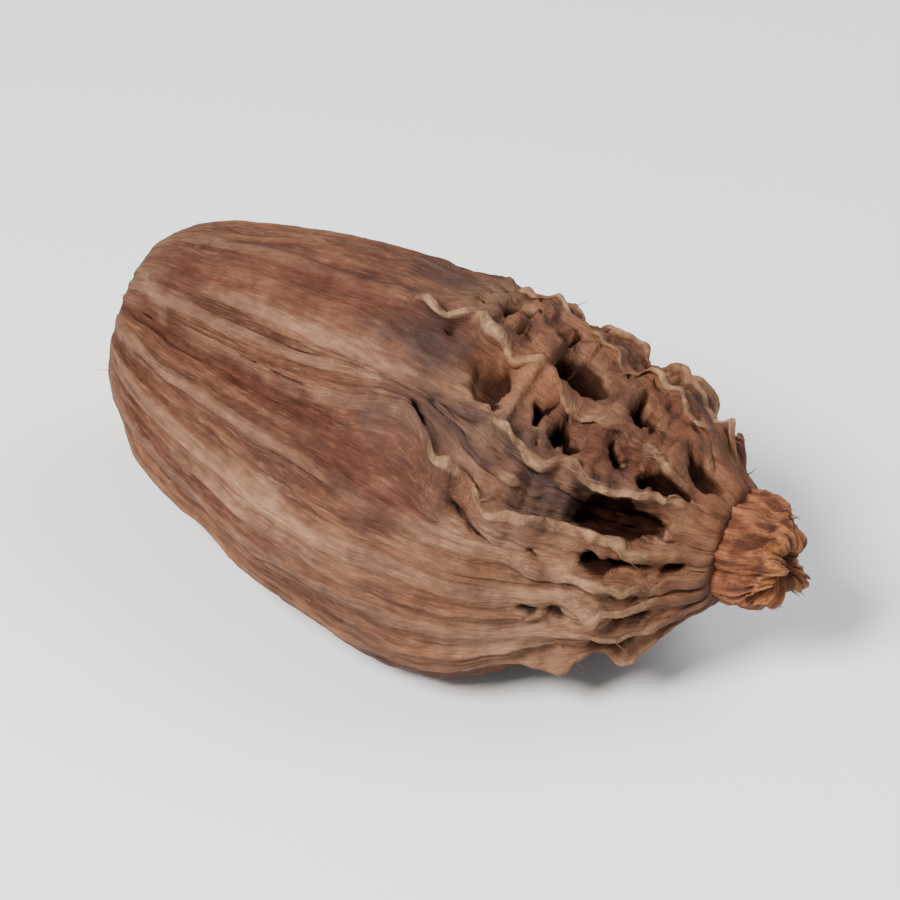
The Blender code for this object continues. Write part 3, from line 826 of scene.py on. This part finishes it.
def tip(grid, values, row):
    """The middle of an end ring, and its values."""
    return grid[row].mean(axis=0), {name: value[row].mean(axis=0) for name, value in values.items()}


def signed_volume(points, quads, caps):
    """Above 0 where the faces look outwards."""
    quads = np.array(quads)
    triangles = np.vstack([quads[:, [0, 1, 2]], quads[:, [0, 2, 3]], np.array(caps)])
    return np.linalg.det(points[triangles]).sum()


def skin(name, grid, values):
    """One closed mesh over the rings of a grid, with its values as attributes."""
    rows, count = grid.shape[:2]
    first, first_values = tip(grid, values, 0)
    last, last_values = tip(grid, values, -1)
    points = np.vstack([grid.reshape(-1, 3), first, last])
    ring, column = np.mgrid[0 : rows - 1, 0:count]
    beside = (column + 1) % count
    near, far = ring * count, (ring + 1) * count
    quads = np.stack([near + column, near + beside, far + beside, far + column], axis=-1)
    quads = quads.reshape(-1, 4).tolist()
    sides = [(column, (column + 1) % count) for column in range(count)]
    start, end, base = rows * count, rows * count + 1, (rows - 1) * count
    caps = [(start, b, a) for a, b in sides] + [(end, base + a, base + b) for a, b in sides]
    data = bpy.data.meshes.new(name)
    data.from_pydata(points.tolist(), [], quads + caps)
    data.validate()
    if signed_volume(points, quads, caps) < 0:
        data.flip_normals()
    for label, value in values.items():
        flat = value.reshape(rows * count, -1)
        ends = np.vstack([np.atleast_1d(first_values[label]), np.atleast_1d(last_values[label])])
        flat = np.vstack([flat, ends]).astype(np.float32)
        vector = flat.shape[1] == 3
        attribute = data.attributes.new(label, "FLOAT_VECTOR" if vector else "FLOAT", "POINT")
        attribute.data.foreach_set("vector" if vector else "value", flat.ravel())
    data.shade_smooth()
    return linked(name, data)


def tube(points, radius):
    """Points and faces of a thin fibre along the points, which tapers towards its end."""
    rows = len(points)
    ahead = np.gradient(points, axis=0)
    ahead = ahead / np.linalg.norm(ahead, axis=1)[:, None]
    aside = np.cross(ahead, [0.31, 0.52, 0.79])
    aside = aside / np.linalg.norm(aside, axis=1)[:, None]
    over = np.cross(ahead, aside)
    thick = radius * (1.0 - 0.75 * np.linspace(0.0, 1.0, rows) ** 2)[:, None, None]
    turn = np.linspace(0.0, math.tau, FIBRE_SIDES, endpoint=False)[None, :, None]
    rings = points[:, None] + thick * (np.cos(turn) * aside[:, None] + np.sin(turn) * over[:, None])
    faces = []
    for near in range(0, (rows - 1) * FIBRE_SIDES, FIBRE_SIDES):
        far = near + FIBRE_SIDES
        for side in range(FIBRE_SIDES):
            beside = (side + 1) % FIBRE_SIDES
            faces.append((near + side, near + beside, far + beside, far + side))
    faces.append(tuple(reversed(range(FIBRE_SIDES))))
    faces.append(tuple(range((rows - 1) * FIBRE_SIDES, rows * FIBRE_SIDES)))
    return rings.reshape(-1, 3), faces


def fibres(husk, calyx):
    """Short fibres that have come loose along the wings, at the calyx and at the stalk scar."""
    chance = random.Random(FIBRE_SEED)
    points, faces = [], []
    ahead = np.array([1.0, 0.0, 0.0])

    def add(start, heading, kind):
        length, radius, bend = (chance.uniform(*span) for span in kind)
        heading = heading / np.linalg.norm(heading)
        turn = np.array([chance.uniform(-1, 1) for _ in range(3)])
        path = [start]
        for _ in range(FIBRE_STEPS):
            heading = heading + bend * turn / FIBRE_STEPS
            heading = heading / np.linalg.norm(heading)
            path.append(path[-1] + heading * (length * MM) / FIBRE_STEPS)
        path = np.array(path)
        path[:, 2] = np.maximum(path[:, 2], radius * MM)
        more, sides = tube(path, radius * MM)
        base = sum(len(part) for part in points)
        faces.extend(tuple(base + corner for corner in side) for side in sides)
        points.append(more)

    grid, values = husk
    normals = grid_normals(grid)
    rows, count = grid.shape[:2]
    placed = 0
    for _ in range(WING_TRIES):
        if placed == WING_FIBRES:
            break
        row, column = chance.randrange(rows), chance.randrange(count)
        share = values["share"][row, column]
        if grid[row, column, 2] < ABOVE_FLOOR or not WING_SPAN[0] <= share <= WING_SPAN[1]:
            continue
        # Nearly all are on the wings' edges
        if values["crest"][row, column] < 0.6 and chance.random() > 0.03:
            continue
        along = ahead if chance.random() < 0.6 else -ahead
        start = grid[row, column] - normals[row, column] * 0.05 * MM
        add(start, along + normals[row, column] * chance.uniform(0.1, 0.5), WING_FIBRE)
        placed += 1
    grid = calyx[0]
    normals = grid_normals(grid)
    rows, count = grid.shape[:2]
    for _ in range(LIP_FIBRES):
        row = int(rows * chance.uniform(*LIP_ROWS))
        column = chance.randrange(count)
        heading = ahead + normals[row, column] * chance.uniform(-0.3, 0.5)
        add(grid[row, column] - ahead * 0.15 * MM, heading, LIP_FIBRE)
    for _ in range(SCAR_FIBRES):
        turn = chance.uniform(0.0, 360.0)
        start = around_axis(0.3 * MM, turn, chance.uniform(0.4, 1.1) * MM)
        outward = around_axis(0.0, turn, 1.0) - around_axis(0.0, turn, 0.0)
        add(start, -ahead + 0.4 * outward, SCAR_FIBRE)
    data = bpy.data.meshes.new("fibres")
    data.from_pydata(np.vstack(points).tolist(), [], faces)
    data.shade_smooth()
    return linked("fibres", data)


class Nodes:
    """A short way to write a material's nodes. Noise scales are per metre, or per unit of flow."""

    def __init__(self, name):
        self.material = bpy.data.materials.new(name)
        self.material.use_nodes = True
        self.tree = self.material.node_tree
        self.place = self.put("ShaderNodeTexCoord").outputs["Object"]

    def put(self, kind, settings=(), **inputs):
        """A new node. Its inputs are named, or numbered with an i before the number."""
        node = self.tree.nodes.new(kind)
        for key, value in dict(settings).items():
            setattr(node, key, value)
        for key, value in inputs.items():
            socket = node.inputs[int(key[1:])] if key[0] == "i" and key[1:].isdigit() else node.inputs[key]
            self.join(value, socket)
        return node

    def join(self, value, socket):
        if isinstance(value, bpy.types.NodeSocket):
            self.tree.links.new(value, socket)
        else:
            socket.default_value = value

    def attribute(self, name, output="Fac"):
        node = self.put("ShaderNodeAttribute", {"attribute_type": "GEOMETRY", "attribute_name": name})
        return node.outputs[output]

    def attributes(self, names):
        return (self.attribute(name) for name in names.split())

    def combined(self, operation, *values):
        """The values added, multiplied or subtracted, from the first on."""
        result = values[0]
        for value in values[1:]:
            result = self.put("ShaderNodeMath", {"operation": operation}, i0=result, i1=value).outputs[0]
        return result

    def weighted(self, *parts):
        """The sum of these parts: each a value and its weight."""
        return self.combined("ADD", *(self.combined("MULTIPLY", *part) for part in parts))

    def noise(self, vector, scale, detail=3.0, roughness=0.55, distortion=0.0):
        values = {"Scale": scale, "Detail": detail, "Roughness": roughness, "Distortion": distortion}
        return self.put("ShaderNodeTexNoise", Vector=vector, **values).outputs["Fac"]

    def span(self, value, low, high, to_low=0.0, to_high=1.0, kind="SMOOTHSTEP"):
        """to_low where the value is low, to_high where it is high."""
        settings = {"interpolation_type": kind, "clamp": True}
        node = self.put("ShaderNodeMapRange", settings, i0=value, i1=low, i2=high, i3=to_low, i4=to_high)
        return node.outputs[0]

    def mix(self, share, a, b, blend="MIX"):
        settings = {"data_type": "RGBA", "blend_type": blend, "clamp_factor": True}
        return self.put("ShaderNodeMix", settings, i0=share, i6=a, i7=b).outputs[2]

    def over(self, colour, top, *shares):
        """The colour with another over it, by the product of the shares."""
        return self.mix(self.combined("MULTIPLY", *shares), colour, top)

    def mottled(self, colour, *parts):
        """The colour, darker and lighter by these parts: each a noise and its two ends."""
        shades = [self.span(value, 0.3, 0.7, *ends, "LINEAR") for value, ends in parts]
        shade = self.combined("MULTIPLY", *shades)
        grey = self.put("ShaderNodeCombineColor", Red=shade, Green=shade, Blue=shade).outputs[0]
        return self.mix(1.0, colour, grey, "MULTIPLY")

    def bumps(self, *layers):
        """The normal over all of these layers: each a height, its distance and its strength."""
        normal = None
        for height, distance, strength in layers:
            node = self.put("ShaderNodeBump", Height=height, Distance=distance, Strength=strength)
            if normal is not None:
                self.join(normal, node.inputs["Normal"])
            normal = node.outputs["Normal"]
        return normal

    def finish(self, **inputs):
        """The material, with these joined to its shader. An underscore in a name stands for a space."""
        for name, value in inputs.items():
            self.join(value, self.tree.nodes["Principled BSDF"].inputs[name.replace("_", " ")])
        return self.material


# Linear colours
TAN = (0.138, 0.058, 0.030, 1)
LIGHT = (0.22, 0.118, 0.073, 1)
PALE = (0.25, 0.138, 0.082, 1)
BROWN = (0.06, 0.022, 0.012, 1)
RED = (0.055, 0.0155, 0.009, 1)
PURPLE = (0.042, 0.023, 0.0195, 1)
# DARK is painted shade in the hollows, pits and cracks, over the skin's own darker colour in the hollows and
# pits
DARK = (0.014, 0.0055, 0.004, 1)
STRAW = (0.255, 0.145, 0.078, 1)
GOLD = (0.155, 0.06, 0.026, 1)
AMBER = (0.105, 0.029, 0.011, 1)
HONEY = (0.215, 0.08, 0.034, 1)
AMBER_EDGE = (0.35, 0.132, 0.048, 1)
RUST = (0.1, 0.026, 0.011, 1)
# UMBER is painted shade in the calyx's creases and inside its cup
UMBER = (0.03, 0.01, 0.005, 1)
FLOOR_TONES = ((0.72, 0.72, 0.72, 1), (0.76, 0.76, 0.76, 1))


def husk_material():
    nodes = Nodes("dried_husk")
    over, span, noise, combined = nodes.over, nodes.span, nodes.noise, nodes.combined
    flow = nodes.attribute("flow", "Vector")
    crest, pit, rim, sunk, rib, crack = nodes.attributes("crest pit rim sunk rib crack")
    streak, ridge, comb, share = nodes.attributes("streak ridge comb share")
    grey, red, gold, light = nodes.attributes("grey red gold pale")
    fine = noise(flow, 3.2, 4.0, 0.6)
    finer = noise(flow, 9.0, 3.0, 0.6)
    broad = noise(flow, 0.55, 3.0, 0.55, 0.3)
    blotch = noise(nodes.place, 330.0, 4.0, 0.6)
    speck = noise(nodes.place, 1500.0, 3.0, 0.6)
    # Brown between the fibres, tan on them, and redder or greyer in patches. The brown in the valleys
    # between the fine ribs is partly painted shade
    tone = nodes.weighted((fine, 0.4), (streak, 0.2), (ridge, 0.4))
    colour = over(BROWN, TAN, span(tone, 0.45, 0.82))
    # Painted shade: brown in the grooves between the comb ribs
    colour = over(colour, BROWN, span(comb, 0.4, 0.85, 0.9, 0.0), span(fine, 0.3, 0.6, 1.0, 0.7))
    colour = over(colour, RED, span(broad, 0.5, 0.68), 0.5)
    colour = over(colour, LIGHT, span(finer, 0.5, 0.72), 0.4)
    # Lighter on the rib tops, partly painted light
    colour = over(colour, LIGHT, span(rib, 0.3, 1.0), 0.3)
    colour = over(colour, PALE, light, span(fine, 0.3, 0.6, 0.3, 0.85))
    colour = over(colour, RED, red, span(blotch, 0.3, 0.6, 0.5, 0.9))
    colour = over(colour, PURPLE, span(blotch, 0.48, 0.66), span(share, 0.34, 0.55), 0.5)
    colour = over(colour, PURPLE, grey, span(fine, 0.3, 0.6, 0.7, 1.0))
    colour = over(colour, GOLD, gold, 0.6)
    # Rims are pale, hollows, pits and cracks dark with painted shade, deeper in deeper hollows and pits and
    # over the skin's own darker colour there, and wing edges palest
    colour = over(colour, PALE, rim, 0.5)
    rough = combined("MULTIPLY", combined("SUBTRACT", blotch, 0.5), 0.5)
    colour = over(colour, DARK, span(combined("ADD", sunk, rough), 0.35, 1.2), 0.85)
    colour = over(colour, DARK, span(combined("ADD", pit, rough), 0.4, 0.8), 0.88)
    # Painted shade in the cracks
    colour = over(colour, DARK, span(crack, 0.2, 0.8), 0.85)
    edges = combined("MULTIPLY", span(crest, 0.35, 0.95), span(blotch, 0.38, 0.58, 0.05, 0.9))
    colour = over(colour, STRAW, edges, span(speck, 0.3, 0.6, 0.5, 0.95))
    # Threads and specks all over
    colour = nodes.mottled(colour, (speck, (0.78, 1.18)), (noise(flow, 7.0, 6.0, 0.7), (0.62, 1.3)))
    threads = (noise(flow, 11.0, 4.0, 0.65), 0.09 * MM, 0.8)
    pores = (noise(nodes.place, 2600.0, 4.0, 0.65), 0.07 * MM, 0.7)
    return nodes.finish(
        Base_Color=colour,
        Roughness=span(fine, 0.3, 0.7, 0.85, 0.65),
        Specular_IOR_Level=span(combined("ADD", pit, sunk), 0.2, 0.9, 0.16, 0.0),
        Normal=nodes.bumps(threads, pores, (fine, 0.16 * MM, 0.6)),
    )


def calyx_material():
    nodes = Nodes("dried_calyx")
    over, span, noise = nodes.over, nodes.span, nodes.noise
    flow = nodes.attribute("flow", "Vector")
    lip, inside, streak = nodes.attributes("lip inside streak")
    fine = noise(flow, 5.0, 4.0, 0.6)
    blotch = noise(nodes.place, 700.0, 4.0, 0.6)
    speck = noise(nodes.place, 2200.0, 3.0, 0.65)
    tone = nodes.weighted((fine, 0.55), (streak, 0.45))
    # Amber to honey, with rusty blotches and a bright lip, and painted shade in the creases and inside the
    # cup
    colour = over(AMBER, HONEY, span(tone, 0.42, 0.8))
    colour = over(colour, RUST, span(blotch, 0.48, 0.63), 0.7)
    colour = over(colour, AMBER_EDGE, span(lip, 0.3, 0.9), span(fine, 0.36, 0.56, 0.25, 0.9))
    # Painted shade in the creases
    colour = over(colour, UMBER, span(streak, 0.45, 0.8, 0.55, 0.0))
    # Painted shade inside the cup
    colour = over(colour, UMBER, inside, 0.4)
    colour = nodes.mottled(colour, (speck, (0.7, 1.3)), (noise(flow, 9.0, 6.0, 0.7), (0.65, 1.3)))
    threads = (noise(flow, 16.0, 4.0, 0.65), 0.13 * MM, 0.9)
    pores = (noise(nodes.place, 2400.0, 4.0, 0.65), 0.1 * MM, 0.9)
    return nodes.finish(
        Base_Color=colour,
        Roughness=span(fine, 0.3, 0.7, 0.75, 0.5),
        Specular_IOR_Level=0.2,
        Normal=nodes.bumps(threads, pores),
    )


def fibre_material():
    nodes = Nodes("loose_fibre")
    colour = nodes.over(BROWN, TAN, nodes.span(nodes.noise(nodes.place, 420.0, 3.0, 0.6), 0.35, 0.65))
    grain = (nodes.noise(nodes.place, 6000.0, 2.0), 0.02 * MM, 0.5)
    return nodes.finish(Base_Color=colour, Roughness=0.65, Normal=nodes.bumps(grain))


def floor_material():
    nodes = Nodes("pale_floor")
    tone = nodes.span(nodes.noise(nodes.place, 90.0, 3.0), 0.3, 0.7, 0.985, 1.0)
    return nodes.finish(Base_Color=nodes.mix(tone, *FLOOR_TONES), Roughness=0.6)


# Soft lights: name, place, size across, power and colour. They look at the middle of the pod
LIGHTS = (
    ("key", (-0.03, -0.14, 0.17), 0.08, 1.3, (1.0, 0.97, 0.92)),
    ("fill", (0.10, 0.10, 0.20), 0.16, 0.45, (0.95, 0.97, 1.0)),
)
MIDDLE = (0.0, 0.0, 7 * MM)
SKY = (0.93, 0.95, 1.0, 1)
SKY_STRENGTH = 0.5
FLOOR_SIZE = 1.2

# The camera's angle is the photograph's
LOOK_AT = (0.0005, 0.0, 0.0078)
AZIMUTH = 30.0
ELEVATION = 38.0
DISTANCE = 0.150
LENS = 135.0


def add_lights():
    for name, place, size, power, colour in LIGHTS:
        data = bpy.data.lights.new(name, "AREA")
        data.shape = "DISK"
        data.size = size
        data.energy = power
        data.color = colour
        lamp = linked(name, data)
        lamp.location = place
        lamp.rotation_euler = (Vector(MIDDLE) - Vector(place)).to_track_quat("-Z", "Y").to_euler()
    world = bpy.data.worlds.new("studio")
    world.use_nodes = True
    world.node_tree.nodes["Background"].inputs["Color"].default_value = SKY
    world.node_tree.nodes["Background"].inputs["Strength"].default_value = SKY_STRENGTH
    bpy.context.scene.world = world


def add_camera():
    data = bpy.data.cameras.new("camera")
    data.lens = LENS
    data.clip_start = 0.005
    turn, tilt = math.radians(AZIMUTH), math.radians(ELEVATION)
    away = Vector((math.sin(turn) * math.cos(tilt), -math.cos(turn) * math.cos(tilt), math.sin(tilt)))
    camera = linked("camera", data)
    camera.location = Vector(LOOK_AT) + DISTANCE * away
    camera.rotation_euler = (-away).to_track_quat("-Z", "Y").to_euler()
    bpy.context.scene.camera = camera


def main():
    husk_data = husk_grid()
    calyx_data = calyx_grid()
    husk = skin("fine_husk", *husk_data)
    husk.data.materials.append(husk_material())
    calyx = skin("fine_calyx", *calyx_data)
    calyx.data.materials.append(calyx_material())
    loose = fibres(husk_data, calyx_data)
    loose.data.materials.append(fibre_material())
    for piece, node, slot in ((husk, "husk", "husk"), (calyx, "calyx", "calyx"), (loose, None, "calyx")):
        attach(piece, "root")
        if node:
            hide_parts(node)

    bpy.ops.mesh.primitive_plane_add(size=FLOOR_SIZE)
    floor = bpy.context.object
    floor.name = "floor"
    floor.data.materials.append(floor_material())
    add_lights()
    add_camera()


main()
